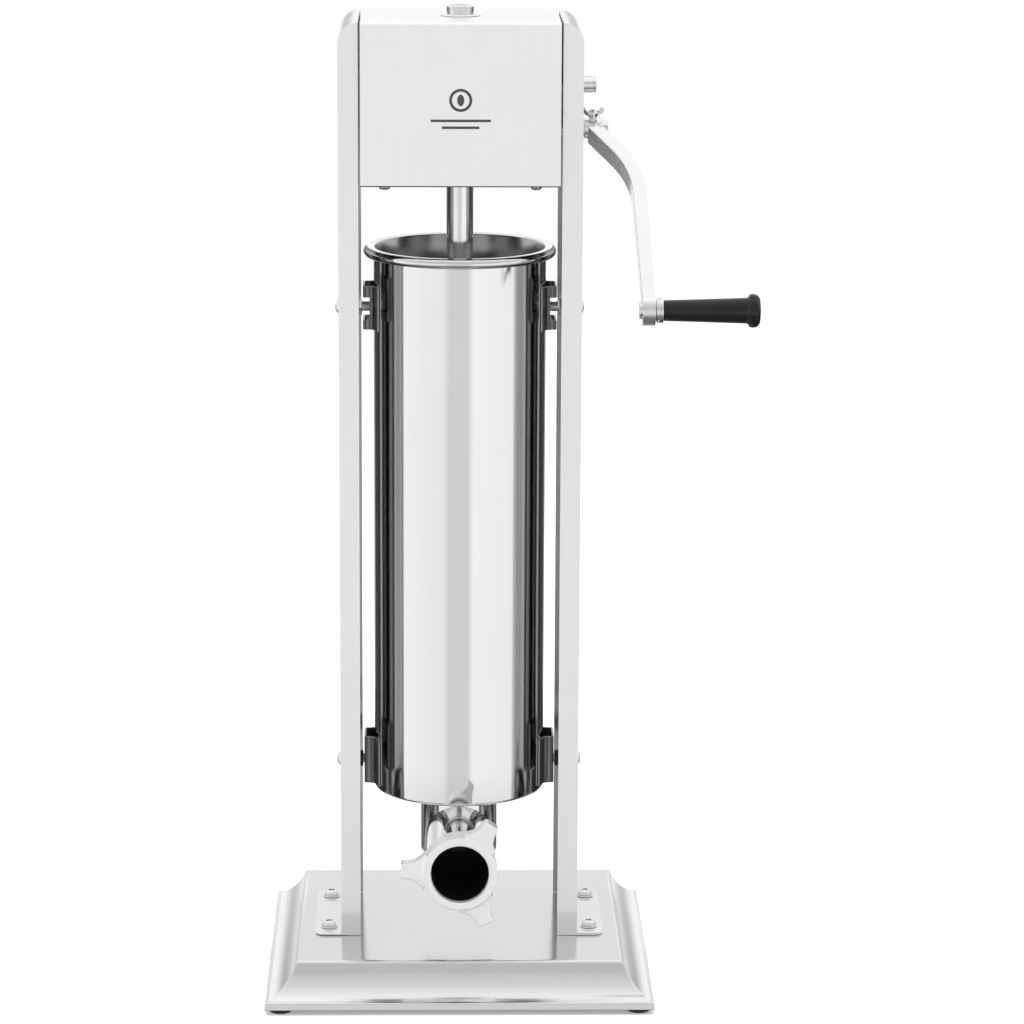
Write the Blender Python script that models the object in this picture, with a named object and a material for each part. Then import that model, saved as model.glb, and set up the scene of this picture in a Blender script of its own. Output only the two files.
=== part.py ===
"""Upright two-speed sausage stuffer: base, two channel uprights, a gear head with a toothed
rod and piston, a lift-out barrel with a front outlet, and a hand crank.

Lengths are in millimetres in the design frame and become metres when a mesh is made.
Design frame: +X to the crank side, -Y to the front, +Z up, with the barrel's axis on X = Y = 0
and Z = 0 at the base's sheet edge.  World +Z = 0 is the underside of the feet.
"""
import math

import bmesh
import bpy
from mathutils import Matrix, Vector

MM = 0.001
GAP = 0.3                      # clearance between pieces that touch

# base
BASE_WIDTH, BASE_DEPTH = 318.0, 302.0
LIP_HEIGHT = 6.5               # upright lip at the pan's edge
STEP_IN = 3.0
SLOPE_IN, SLOPE_UP = 21.5, 24.7
SLOPE_SAG = 3.0                # how far the slope hollows in from a straight line
ROLL_IN = 4.5                  # rounding between the slope and the flat top
SHEET = 1.5
RETURN_FLANGE = 25.0
PAN_TOP = 34.0
FOOT_HEIGHT, FOOT_RADIUS, FOOT_INSET = 4.0, 10.0, 12.5

# uprights
INNER_HALF, OUTER_HALF = 82.0, 98.5
UPRIGHT_HALF_DEPTH = 60.0
UPRIGHT_SHEET = 2.0
UPRIGHT_TOP = 795.2
TOP_BEND = OUTER_HALF - INNER_HALF
TAB_REACH = 120.5
TAB_BOLT_X, TAB_BOLT_Y = 109.0, 42.0

# gear head
HEAD_HALF_WIDTH, HEAD_HALF_DEPTH = 80.4, 65.0
HEAD_BOTTOM, HEAD_TOP = 664.2, 795.6
FLOOR_THICK = 3.0
PLATE_THICK = 5.0

# rod, piston and drive
ROD_RADIUS = 11.0
ROD_TOP = 803.6
RACK_TIP_Y = 9.6
PRESSURE_ANGLE = math.radians(25.0)
RACK_MODULE, RACK_PINION_TEETH = 2.0, 12
GEAR_MODULE, LARGE_TEETH, SMALL_TEETH = 1.5, 36, 12
ADDENDUM, DEDENDUM = 0.9, 1.15
BACKLASH = 0.36
ROD_TRAVEL = 450.0
SHAFT_RADIUS = 6.8
SHAFT_Y = RACK_TIP_Y - ADDENDUM * RACK_MODULE + RACK_MODULE * RACK_PINION_TEETH / 2
SLOW_Z = 702.0
FAST_Z = SLOW_Z + GEAR_MODULE * (LARGE_TEETH + SMALL_TEETH) / 2
FAST_END, SLOW_END = 111.5, 121.5
FLAT_LENGTH, FLAT_HEIGHT = 12.0, 5.6   # flat for the wing screw, at the end of each shaft
GEAR_X = 34.0                  # middle of the gear pair along the shafts
PISTON_RADIUS, PISTON_LOW, PISTON_HIGH = 67.0, 180.0, 197.0
VALVE_X = 40.0

# barrel and outlet
BARREL_RADIUS, BARREL_SHEET = 71.0, 1.5
BARREL_LOW, BARREL_HIGH = 149.0, 607.6
BEAD_RADIUS, BEAD_CENTRE = 4.15, 75.0
OUTLET_HOLE = 29.0
OUTLET_Z = 111.0
DOWN_PIPE_RADIUS, SPOUT_RADIUS, SPOUT_BORE = 32.2, 27.0, 23.6
SPOUT_FRONT = -132.0
NUT_FRONT, NUT_BACK = -136.0, -114.0
NUT_BODY, LUG_REACH = 30.6, 48.5
UPPER_STUD_Z, LOWER_STUD_Z = 557.0, 171.4
STUD_RADIUS = 4.0

# crank: drawn hanging straight down, then turned about the slow shaft
CRANK_TILT = math.radians(50.0)
CRANK_DROP = 197.0
ARM_WIDTH, ARM_THICK = 10.5, 19.0
ARM_X = 148.5
ARM_BEND_X, ARM_BEND_DROP, ARM_BEND_REACH = 143.8, 52.0, 28.0
HUB_LEFT, HUB_RIGHT, HUB_RADIUS = 101.8, 117.0, 8.4
WING_X = 108.6                 # the wing screw leans to the front, clear of the upright as it turns
WING_TILT = math.radians(30.0)
EYE_RADIUS, EYE_HALF = 12.0, 5.2
GRIP_BORE, FERRULE_RADIUS = 4.3, 10.0
GRIP_START, GRIP_END, FLANGE_END = 160.3, 228.0, 237.0
GRIP_NECK, GRIP_WAIST, GRIP_BELL = 8.5, 8.9, 10.0

# the stored frame has its origin under the middle of the whole object
ORIGIN = Vector(((FLANGE_END - BASE_WIDTH / 2) / 2, 0.0, -FOOT_HEIGHT))
CUT_MARGIN = 1.0


def clear_scene():
    for item in list(bpy.data.objects):
        bpy.data.objects.remove(item, do_unlink=True)


def material(name, colour, roughness, metallic):
    mat = bpy.data.materials.new(name)
    mat.use_nodes = True
    shader = mat.node_tree.nodes["Principled BSDF"]
    shader.inputs["Base Color"].default_value = (*colour, 1.0)
    shader.inputs["Roughness"].default_value = roughness
    shader.inputs["Metallic"].default_value = metallic
    return mat


def place(name, bm, mat, pivot=(0, 0, 0), smooth=35.0):
    """Turn a bmesh drawn in the design frame into an object with its origin at the pivot."""
    pivot = Vector(pivot)
    bmesh.ops.remove_doubles(bm, verts=bm.verts, dist=1e-4)
    bmesh.ops.transform(bm, matrix=Matrix.Scale(MM, 4) @ Matrix.Translation(-pivot), verts=bm.verts)
    bmesh.ops.recalc_face_normals(bm, faces=bm.faces)
    mesh = bpy.data.meshes.new(name)
    bm.to_mesh(mesh)
    bm.free()
    mesh.shade_smooth()
    mesh.set_sharp_from_angle(angle=math.radians(smooth))
    mesh.materials.append(mat)
    item = bpy.data.objects.new(name, mesh)
    item.location = (pivot - ORIGIN) * MM
    bpy.context.collection.objects.link(item)
    return item


def combine(target, bm, operation):
    """Join or cut the target with a helper shape that stays out of the model."""
    index = len(target.modifiers)
    helper = place(f"{target.name}_helper_{index}", bm, target.data.materials[0])
    helper.hide_render = True
    helper.display_type = "WIRE"
    boolean = target.modifiers.new(f"{operation.lower()}_{index}", "BOOLEAN")
    boolean.operation = operation
    boolean.solver = "EXACT"
    boolean.object = helper
    return helper


def cut(target, bm):
    return combine(target, bm, "DIFFERENCE")


def join(target, bm):
    return combine(target, bm, "UNION")


def box(low, high):
    bm = bmesh.new()
    bmesh.ops.create_cube(bm, size=1.0)
    size = Vector(high) - Vector(low)
    middle = (Vector(high) + Vector(low)) / 2
    bmesh.ops.transform(bm, matrix=Matrix.Translation(middle) @ Matrix.Diagonal((*size, 1.0)),
                        verts=bm.verts)
    return bm


# a profile's own +Z runs along one of these directions
TURNS = {
    "Z": Matrix.Identity(4),
    "X": Matrix(((0, 0, 1, 0), (1, 0, 0, 0), (0, 1, 0, 0), (0, 0, 0, 1))),
    "Y": Matrix(((0, 1, 0, 0), (0, 0, 1, 0), (1, 0, 0, 0), (0, 0, 0, 1))),
}


def turned(profile, segments=32, along="Z", centre=(0, 0, 0)):
    """Spin a closed outline of (radius, height) points; a radius of 0 makes a pole."""
    bm = bmesh.new()
    rings = []
    for radius, height in profile:
        if radius < 1e-6:
            rings.append([bm.verts.new((0, 0, height))])
            continue
        angles = (2 * math.pi * i / segments for i in range(segments))
        rings.append([bm.verts.new((radius * math.cos(a), radius * math.sin(a), height))
                      for a in angles])
    for low, high in zip(rings, rings[1:] + rings[:1]):
        if len(low) == 1 and len(high) == 1:
            continue
        for i in range(segments):
            j = (i + 1) % segments
            corners = [low[i % len(low)], low[j % len(low)], high[j % len(high)], high[i % len(high)]]
            bm.faces.new(list(dict.fromkeys(corners)))
    bmesh.ops.transform(bm, matrix=Matrix.Translation(centre) @ TURNS[along], verts=bm.verts)
    return bm


def prism(outline, low, high, along="Z", centre=(0, 0, 0)):
    """Extrude a closed outline of 2-D points from low to high along an axis."""
    bm = bmesh.new()
    floor = [bm.verts.new((x, y, low)) for x, y in outline]
    roof = [bm.verts.new((x, y, high)) for x, y in outline]
    bm.faces.new(floor)
    bm.faces.new(roof)
    for i in range(len(outline)):
        j = (i + 1) % len(outline)
        bm.faces.new((floor[i], floor[j], roof[j], roof[i]))
    bmesh.ops.transform(bm, matrix=Matrix.Translation(centre) @ TURNS[along], verts=bm.verts)
    return bm


def arc(cx, cy, radius, start, end, steps):
    """Points on an arc, angles in degrees."""
    angles = (math.radians(start + (end - start) * i / steps) for i in range(steps + 1))
    return [(cx + radius * math.cos(a), cy + radius * math.sin(a)) for a in angles]


def circle(radius, steps, cx=0.0, cy=0.0):
    return arc(cx, cy, radius, 0, 360 * (steps - 1) / steps, steps - 1)


def rod(radius, low, high, along="Z", centre=(0, 0, 0), segments=32, chamfer=0.0):
    c = chamfer
    edge = radius - c
    profile = [(0, low), (edge, low), (radius, low + c), (radius, high - c), (edge, high), (0, high)]
    return turned(profile if c else [profile[0], (radius, low), (radius, high), profile[-1]],
                  segments, along, centre)


def tube(inner, outer, low, high, along="Z", centre=(0, 0, 0), segments=32):
    return turned([(inner, low), (outer, low), (outer, high), (inner, high)], segments, along, centre)


def hex_nut(name, mat, bore, radius, low, high, along="Z", centre=(0, 0, 0)):
    nut = place(name, prism(circle(radius, 6), low, high, along, centre), mat, smooth=20)
    cut(nut, rod(bore, low - CUT_MARGIN, high + CUT_MARGIN, along, centre, 20))
    return nut


def strip(path, thickness):
    """Closed outline of a bent strip: the path offset half the thickness to each side."""
    points = [Vector(p) for p in path]
    left, right = [], []
    for i, point in enumerate(points):
        before = (point - points[i - 1]).normalized() if i else None
        after = (points[i + 1] - point).normalized() if i < len(points) - 1 else None
        before, after = before or after, after or before
        normal = Vector((-(before + after).y, (before + after).x)).normalized()
        reach = thickness / 2 / max(0.4, normal.dot(Vector((-before.y, before.x))))
        left.append(tuple(point + normal * reach))
        right.append(tuple(point - normal * reach))
    return left + right[::-1]


# ---------------------------------------------------------------- gears

def gear_outline(module, teeth, tooth_at):
    """Involute gear outline with one tooth centred at the angle tooth_at, in degrees."""
    pitch = module * teeth / 2
    base = pitch * math.cos(PRESSURE_ANGLE)
    tip, root = pitch + ADDENDUM * module, pitch - DEDENDUM * module

    def involute(radius):
        turn = math.sqrt(max(0.0, (radius / base) ** 2 - 1))
        return turn - math.atan(turn)

    half_pitch = (math.pi * module / 2 - BACKLASH / 2) / 2 / pitch
    start = max(root, base)
    radii = [start + (tip - start) * i / 2 for i in range(3)]
    outline = []
    for tooth in range(teeth):
        middle = math.radians(tooth_at) + 2 * math.pi * tooth / teeth
        halves = [(r, half_pitch + involute(pitch) - involute(r)) for r in radii]
        flank = [(root, halves[0][1] + 0.02)] + halves if root < start else halves
        for r, half in flank:
            outline.append((r * math.cos(middle - half), r * math.sin(middle - half)))
        for r, half in reversed(flank):
            outline.append((r * math.cos(middle + half), r * math.sin(middle + half)))
    return outline


def rack_gap(z):
    """Outline in (Y, Z) of one gap between rack teeth, centred at the height z."""
    pitch_y = RACK_TIP_Y - ADDENDUM * RACK_MODULE
    root_y = pitch_y - DEDENDUM * RACK_MODULE
    half = math.pi * RACK_MODULE / 4 + BACKLASH / 2
    slope = math.tan(PRESSURE_ANGLE)
    inner = half - (pitch_y - root_y) * slope
    outer_y = ROD_RADIUS + CUT_MARGIN
    outer = half + (outer_y - pitch_y) * slope
    return [(root_y, z - inner), (outer_y, z - outer), (outer_y, z + outer), (root_y, z + inner)]


# ---------------------------------------------------------------- base and frame

def pan_ring(bm, inset, z):
    x, y = BASE_WIDTH / 2 - inset, BASE_DEPTH / 2 - inset
    return [bm.verts.new(p) for p in ((-x, -y, z), (x, -y, z), (x, y, z), (-x, y, z))]


def curve(start, control, end, steps):
    """Points of a quadratic curve, both ends included."""
    a, b, c = Vector(start), Vector(control), Vector(end)
    return [tuple(a * (1 - t) ** 2 + b * 2 * t * (1 - t) + c * t ** 2)
            for t in (i / steps for i in range(steps + 1))]


def base_profile():
    """(inset, z) of the outer skin, from the lip's edge to the flat top."""
    foot = Vector((STEP_IN, LIP_HEIGHT))
    slope = Vector((SLOPE_IN, SLOPE_UP))
    head = foot + slope
    hollow = foot + slope / 2 + Vector((SLOPE_UP, -SLOPE_IN)).normalized() * SLOPE_SAG * 2
    rise = (head - hollow) / (head - hollow).y
    corner = head + rise * (PAN_TOP - head.y)
    roll = curve(head, corner, (head.x + ROLL_IN, PAN_TOP), 4)
    return [(0, 0), (0, LIP_HEIGHT - 1), (1, LIP_HEIGHT)] + curve(foot, hollow, head, 7) + roll[1:]


def make_base(mats):
    bm = bmesh.new()
    outer = base_profile()
    inner = [(inset + SHEET, max(z - SHEET, SHEET)) for inset, z in outer]
    inner = inner[:1] + [(SHEET, LIP_HEIGHT - 2 * SHEET)] + inner[3:]
    loop = [(RETURN_FLANGE, 0)] + outer
    rings = [pan_ring(bm, *p) for p in loop]
    under = [pan_ring(bm, *p) for p in [(RETURN_FLANGE, SHEET)] + inner]
    for run in (rings, under):
        for low, high in zip(run, run[1:]):
            for i in range(4):
                bm.faces.new((low[i], low[(i + 1) % 4], high[(i + 1) % 4], high[i]))
        bm.faces.new(run[-1])
    for i in range(4):
        bm.faces.new((rings[0][i], rings[0][(i + 1) % 4], under[0][(i + 1) % 4], under[0][i]))
    pan = place("base_pan", bm, mats["brushed"], smooth=30)
    for x, y in corners(BASE_WIDTH / 2 - FOOT_INSET, BASE_DEPTH / 2 - FOOT_INSET):
        cut(pan, rod(3.2, -CUT_MARGIN, SHEET + CUT_MARGIN, centre=(x, y, 0), segments=16))
    for x, y in corners(TAB_BOLT_X, TAB_BOLT_Y):
        cut(pan, rod(4.4, PAN_TOP - 4, PAN_TOP + CUT_MARGIN, centre=(x, y, 0), segments=16))

    names = ("front_left", "front_right", "rear_left", "rear_right")
    for name, (x, y) in zip(names, corners(BASE_WIDTH / 2 - FOOT_INSET, BASE_DEPTH / 2 - FOOT_INSET)):
        r = FOOT_RADIUS
        profile = [(0, -FOOT_HEIGHT), (r - 1.5, -FOOT_HEIGHT), (r - 0.8, -3.2), (r, -GAP),
                   (2.8, -GAP), (2.8, 4), (2.0, 5), (0, 5)]
        place(f"foot_{name}", turned(profile, 20, centre=(x, y, 0)), mats["rubber"], (x, y, 0))
    for name, (x, y) in zip(names, corners(TAB_BOLT_X, TAB_BOLT_Y)):
        low = PAN_TOP + GAP + UPRIGHT_SHEET + GAP
        profile = [(0, PAN_TOP - 14), (3.9, PAN_TOP - 14), (3.9, low), (7.2, low), (7.2, low + 1.2),
                   (6.2, low + 1.4), (6.0, low + 3.0), (4.6, low + 4.6), (2.5, low + 5.3), (0, low + 5.5)]
        place(f"tab_bolt_{name}", turned(profile, 16, centre=(x, y, 0)), mats["polished"])
        high = PAN_TOP - SHEET - GAP
        hex_nut(f"tab_nut_{name}", mats["polished"], 4.2, 7.2, high - 6.5, high, centre=(x, y, 0))


def corners(x, y):
    """Front left, front right, rear left, rear right."""
    return [(-x, -y), (x, -y), (-x, y), (x, y)]


def upright_side(side, inset, reach):
    """Outline in (X, Z) of the upright with its bent top, shrunk by inset and widened by reach."""
    outer = OUTER_HALF - inset
    low = PAN_TOP + GAP - (CUT_MARGIN if inset else 0)
    bend = TOP_BEND - inset
    points = [(INNER_HALF - reach, low), (outer, low), (outer, UPRIGHT_TOP - TOP_BEND)]
    points += arc(outer - bend, UPRIGHT_TOP - TOP_BEND, bend, 0, 90, 8)[1:]
    if reach:
        points.append((INNER_HALF - reach, UPRIGHT_TOP - inset))
    return [(side * x, z) for x, z in points]


def make_upright(name, side, mats):
    """Channel open towards the barrel, its web bent over at the top and out at the foot."""
    depth = UPRIGHT_HALF_DEPTH

    def side_prism(outline, half_depth):
        return prism([(z, x) for x, z in outline], -half_depth, half_depth, along="Y")

    post = place(name, side_prism(upright_side(side, 0, 0), depth), mats["satin"])
    cut(post, side_prism(upright_side(side, UPRIGHT_SHEET, CUT_MARGIN), depth - UPRIGHT_SHEET))
    low = PAN_TOP + GAP
    r = 8.0
    inner, outer = OUTER_HALF - 6, TAB_REACH
    outline = [(inner, -depth), *arc(outer - r, -depth + r, r, -90, 0, 5),
               *arc(outer - r, depth - r, r, 0, 90, 5), (inner, depth)]
    join(post, prism([(side * x, y) for x, y in outline], low, low + UPRIGHT_SHEET))
    for y in (-TAB_BOLT_Y, TAB_BOLT_Y):
        cut(post, rod(4.4, low - CUT_MARGIN, low + 4, centre=(side * TAB_BOLT_X, y, 0), segments=16))
    for z in (UPPER_STUD_Z, LOWER_STUD_Z):
        cut(post, rod(STUD_RADIUS + GAP, 90, 105, "X", (0, 0, z), 16) if side > 0 else
            rod(STUD_RADIUS + GAP, -105, -90, "X", (0, 0, z), 16))
    if side > 0:
        for z in (FAST_Z, SLOW_Z):
            cut(post, rod(SHAFT_RADIUS + 1.2, 90, 105, "X", (0, SHAFT_Y, z), 24))


def make_studs(mats):
    for name, side in (("left", -1), ("right", 1)):
        def along(profile, z, segments=16):
            points = [(r, side * x) for r, x in profile]
            return turned(points, segments, "X", (0, 0, z))

        web = OUTER_HALF
        dome = [(6.2, web + GAP), (5.6, web + 2.2), (3.6, web + 3.7), (0, web + 4.2)]
        shank = [(0, 71.0), (6.5, 71.0), (6.5, 74.0), (STUD_RADIUS, 74.0), (STUD_RADIUS, web + GAP)]
        place(f"upper_stud_{name}", along(shank + dome, UPPER_STUD_Z), mats["polished"])
        plain = [(0, 73.0), (STUD_RADIUS, 73.0), (STUD_RADIUS, web + GAP)]
        place(f"lower_stud_{name}", along(plain + dome, LOWER_STUD_Z), mats["polished"])
        near, far = sorted((side * 80.4, side * 86.5))
        hex_nut(f"upper_stud_nut_{name}", mats["polished"], STUD_RADIUS + GAP, 7.5, near, far, "X",
                (0, 0, UPPER_STUD_Z))
        sleeve = [(STUD_RADIUS + GAP, 80.5), (6.8, 80.5), (6.8, web - UPRIGHT_SHEET - GAP),
                  (STUD_RADIUS + GAP, web - UPRIGHT_SHEET - GAP)]
        place(f"lower_spacer_{name}", along(sleeve, LOWER_STUD_Z, 24), mats["dark"])


# ---------------------------------------------------------------- gear head

def make_head(mats):
    half_w, half_d = HEAD_HALF_WIDTH, HEAD_HALF_DEPTH
    r = 2.5
    bend = r - SHEET / 2
    front_bend = reversed(arc(-half_d + r, HEAD_TOP - r, bend, 90, 180, 4))
    rear_bend = reversed(arc(half_d - r, HEAD_TOP - r, bend, 0, 90, 4))
    path = [(-half_d + SHEET / 2, HEAD_BOTTOM), *front_bend, *rear_bend, (half_d - SHEET / 2, HEAD_BOTTOM)]
    cover = place("head_cover", prism(strip(path, SHEET), -half_w, half_w, "X"), mats["brushed"])
    cut(cover, rod(14.6, HEAD_TOP - 6, HEAD_TOP + 2, segments=24))
    edge = half_d - SHEET - GAP
    slab = box((-half_w, -edge, HEAD_BOTTOM), (half_w, edge, HEAD_BOTTOM + FLOOR_THICK))
    floor = place("head_floor", slab, mats["brushed"])
    cut(floor, rod(15.0, HEAD_BOTTOM - 2, HEAD_BOTTOM + 5, segments=24))
    screws = corners(61.0, 57.0)
    for x, y in screws:
        cut(floor, rod(2.4, HEAD_BOTTOM - 2, HEAD_BOTTOM + 5, centre=(x, y, 0), segments=12))
    names = ("front_left", "front_right", "rear_left", "rear_right")
    for name, (x, y) in zip(names, screws):
        low = HEAD_BOTTOM - GAP
        profile = [(0, low - 3.0), (3.0, low - 2.4), (4.8, low - 0.8), (5.0, low), (2.1, low),
                   (2.1, low + 9), (0, low + 9)]
        place(f"cover_screw_{name}", turned(profile, 14, centre=(x, y, 0)), mats["polished"])

    low, high = HEAD_BOTTOM + FLOOR_THICK + GAP, HEAD_TOP - SHEET - GAP
    for name, x in (("left", -half_w), ("right", half_w - PLATE_THICK)):
        slab = box((x, -edge, low), (x + PLATE_THICK, edge, high))
        plate = place(f"bearing_plate_{name}", slab, mats["satin"])
        for z in (FAST_Z, SLOW_Z):
            cut(plate, rod(11.0, x - 1, x + PLATE_THICK + 1, "X", (0, SHAFT_Y, z), 20))
            bush = tube(SHAFT_RADIUS + 0.1, 10.6, x, x + PLATE_THICK, "X", (0, SHAFT_Y, z), 20)
            place(f"{'fast' if z == FAST_Z else 'slow'}_shaft_bush_{name}", bush, mats["bronze"])

    inner = ROD_RADIUS + 0.25
    top = HEAD_TOP + GAP
    upper = [(inner, top - 9), (14.2, top - 9), (14.2, top), (16.5, top), (16.0, top + 1), (inner, top + 1)]
    place("rod_guide_upper", turned(upper, 24), mats["bronze"])
    low = HEAD_BOTTOM - GAP
    lower = [(inner, low - 2), (17, low - 2), (17.5, low), (14.6, low), (14.6, low + 12), (inner, low + 12)]
    place("rod_guide_lower", turned(lower, 24), mats["bronze"])


# ---------------------------------------------------------------- rod and piston

def make_rod(mats):
    low = PISTON_HIGH + GAP
    profile = [(0, PISTON_LOW - 8), (5.5, PISTON_LOW - 8), (5.5, low), (ROD_RADIUS, low),
               (ROD_RADIUS, ROD_TOP - 1), (ROD_RADIUS - 1, ROD_TOP), (0, ROD_TOP)]
    body = place("toothed_rod", turned(profile, 20), mats["polished"])
    pitch = math.pi * RACK_MODULE
    below, above = math.ceil((ROD_TRAVEL + 10) / pitch), 1
    rack_low = FAST_Z - (below + 0.5) * pitch
    rack_high = FAST_Z + (above + 0.5) * pitch
    cut(body, box((-12, RACK_TIP_Y, rack_low), (12, 12, rack_high)))
    gaps = bmesh.new()
    for k in range(-below, above + 1):
        groove = prism(rack_gap(FAST_Z + k * pitch), -12, 12, "X")
        spare = bpy.data.meshes.new("groove")
        groove.to_mesh(spare)
        groove.free()
        gaps.from_mesh(spare)
        bpy.data.meshes.remove(spare)
    cut(body, gaps)

    r, low, high = PISTON_RADIUS, PISTON_LOW, PISTON_HIGH
    groove_low, groove_high = low + 5, high - 5
    plate = [(5.8, low), (r - 2, low), (r, low + 2), (r, groove_low), (r - 4, groove_low),
             (r - 4, groove_high), (r, groove_high), (r, high - 2), (r - 2, high), (5.8, high)]
    piston = place("piston_plate", turned(plate, 32), mats["polished"])
    cut(piston, rod(4.2, low - 2, high + 2, centre=(VALVE_X, 0, 0), segments=16))
    inner = BARREL_RADIUS - BARREL_SHEET - 0.25
    seal = [(r - 4 + GAP, groove_low + GAP), (inner - 1, groove_low + GAP), (inner, groove_low + 2),
            (inner, groove_high - 2), (inner - 1, groove_high - GAP), (r - 4 + GAP, groove_high - GAP)]
    place("piston_seal", turned(seal, 40), mats["seal"])
    hex_nut("piston_nut", mats["polished"], 5.8, 10.5, low - 8, low - GAP)
    valve = [(0, low - 3), (6.5, low - 3), (6.5, low - GAP), (3.8, low - GAP), (3.8, high + 7),
             (6.0, high + 7), (6.0, high + 9), (0, high + 9)]
    place("air_valve", turned(valve, 24, centre=(VALVE_X, 0, 0)), mats["polished"], (VALVE_X, 0, low))


def make_drive(mats):
    fast, slow = (0, SHAFT_Y, FAST_Z), (0, SHAFT_Y, SLOW_Z)
    for name, centre, end in (("fast_shaft", fast, FAST_END), ("slow_shaft", slow, SLOW_END)):
        bar = rod(SHAFT_RADIUS, -HEAD_HALF_WIDTH, end, "X", centre, 20, 0.8)
        shaft = place(name, bar, mats["polished"], centre)
        y, z = centre[1], centre[2]
        flat = box((end - FLAT_LENGTH, y - 4.5, z + FLAT_HEIGHT), (end + 1, y + 4.5, z + 8))
        bmesh.ops.rotate(flat, cent=centre, matrix=Matrix.Rotation(WING_TILT, 3, "X"), verts=flat.verts)
        cut(shaft, flat)
    # an outline lies in (Y, Z): 0 degrees points to +Y and 90 degrees to +Z
    gears = (
        ("rack_pinion", RACK_MODULE, RACK_PINION_TEETH, 180.0, fast, 0.0, 8.5),
        ("large_gear", GEAR_MODULE, LARGE_TEETH, 270.0, fast, GEAR_X, 5.0),
        ("small_pinion", GEAR_MODULE, SMALL_TEETH, 90.0 + 180.0 / SMALL_TEETH, slow, GEAR_X, 7.0),
    )
    for name, module, teeth, tooth_at, centre, x, half_width in gears:
        outline = prism(gear_outline(module, teeth, tooth_at), x - half_width, x + half_width, "X", centre)
        gear = place(name, outline, mats["dark"], centre, smooth=20)
        cut(gear, rod(SHAFT_RADIUS + 0.2, x - half_width - 1, x + half_width + 1, "X", centre, 24))


# ---------------------------------------------------------------- crank

def make_crank(mats):
    pivot = Vector((0, SHAFT_Y, SLOW_Z))
    tilt = Matrix.Translation(pivot) @ Matrix.Rotation(-CRANK_TILT, 4, "X") @ Matrix.Translation(-pivot)

    def tilted(bm):
        bmesh.ops.transform(bm, matrix=tilt, verts=bm.verts)
        return bm

    y, top = SHAFT_Y, SLOW_Z
    eye_z = top - CRANK_DROP
    start, bend, end = (Vector((HUB_LEFT + 7.3, top - 4.6)), Vector((ARM_BEND_X, top - ARM_BEND_DROP)),
                        Vector((ARM_X, eye_z + 4)))
    before, after = (start - bend).normalized(), (end - bend).normalized()
    sweep = curve(bend + before * ARM_BEND_REACH, bend, bend + after * ARM_BEND_REACH, 7)
    path = [tuple(start), *sweep, tuple(end)]
    outline = [(z, x) for x, z in strip(path, ARM_WIDTH)]
    arm = place("crank_arm", tilted(prism(outline, -ARM_THICK / 2, ARM_THICK / 2, "Y", (0, y, 0))),
                mats["satin"], (HUB_LEFT, SHAFT_Y, SLOW_Z))
    join(arm, tilted(rod(HUB_RADIUS, HUB_LEFT, HUB_RIGHT, "X", (0, y, top), 28, 0.8)))
    join(arm, tilted(rod(EYE_RADIUS, ARM_X - EYE_HALF, ARM_X + EYE_HALF, "X", (0, y, eye_z), 24, 0.8)))
    cut(arm, tilted(rod(SHAFT_RADIUS + 0.15, HUB_LEFT - 1, SLOW_END + 1, "X", (0, y, top), 24)))
    cut(arm, tilted(rod(GRIP_BORE, ARM_X - 9, ARM_X + 9, "X", (0, y, eye_z), 24)))
    lean = Matrix.Translation(pivot) @ Matrix.Rotation(WING_TILT, 4, "X") @ Matrix.Translation(-pivot)

    def leaned(bm):
        bmesh.ops.transform(bm, matrix=lean, verts=bm.verts)
        return bm

    cut(arm, leaned(rod(3.3, 2, HUB_RADIUS + 2, "Z", (WING_X, y, top), 16)))
    low = top + HUB_RADIUS
    stem = [(0, low - 1.5), (2.8, low - 1.5), (2.8, low + 3.2), (3.8, low + 4), (3.6, low + 8),
            (0, low + 8.5)]
    stem = leaned(turned(stem, 20, centre=(WING_X, y, 0)))
    wing = place("wing_screw", stem, mats["polished"], (WING_X, y, top))
    for side in (-1, 1):
        leaf = [(side * 2.0, low + 4.4), (side * 5.0, low + 4.8), (side * 8.0, low + 7.8),
                (side * 9.4, low + 11.2), (side * 8.4, low + 12.6), (side * 6.4, low + 11.8),
                (side * 4.4, low + 8.8), (side * 2.0, low + 7.6)]
        join(wing, leaned(prism([(z, x) for x, z in leaf], -1.2, 1.2, "Y", (WING_X, y, 0))))

    eye = tuple(tilt @ Vector((ARM_X, y, eye_z)))

    def on_grip(profile, segments):
        return turned([(r, x) for r, x in profile], segments, "X", (0, eye[1], eye[2]))

    left, right, end = ARM_X - EYE_HALF, ARM_X + EYE_HALF, FLANGE_END
    bolt = [(0, left - 2.4), (5.8, left - 2.4), (6.6, left - 1.6), (6.6, left - GAP), (4.0, left - GAP),
            (4.0, end - 8), (0, end - 8)]
    place("grip_bolt", on_grip(bolt, 16), mats["polished"], eye)
    ferrule = [(GRIP_BORE, right + GAP), (8.5, right + GAP), (FERRULE_RADIUS, right + 1.5),
               (FERRULE_RADIUS, GRIP_START - GAP), (GRIP_BORE, GRIP_START - GAP)]
    place("grip_ferrule", on_grip(ferrule, 20), mats["polished"], eye)
    grip = [(GRIP_BORE, GRIP_START), (GRIP_NECK - 0.5, GRIP_START), (GRIP_NECK, GRIP_START + 1),
            (GRIP_WAIST, (GRIP_START + GRIP_END) / 2 - 5), (GRIP_BELL, GRIP_END - 3), (11.2, GRIP_END),
            (13.2, GRIP_END + 2), (13.6, GRIP_END + 4), (12.8, end - 1.5), (10.5, end),
            (0, end), (0, end - 7), (GRIP_BORE, end - 7)]
    place("grip", on_grip(grip, 24), mats["black"], eye)


# ---------------------------------------------------------------- barrel and outlet

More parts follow.
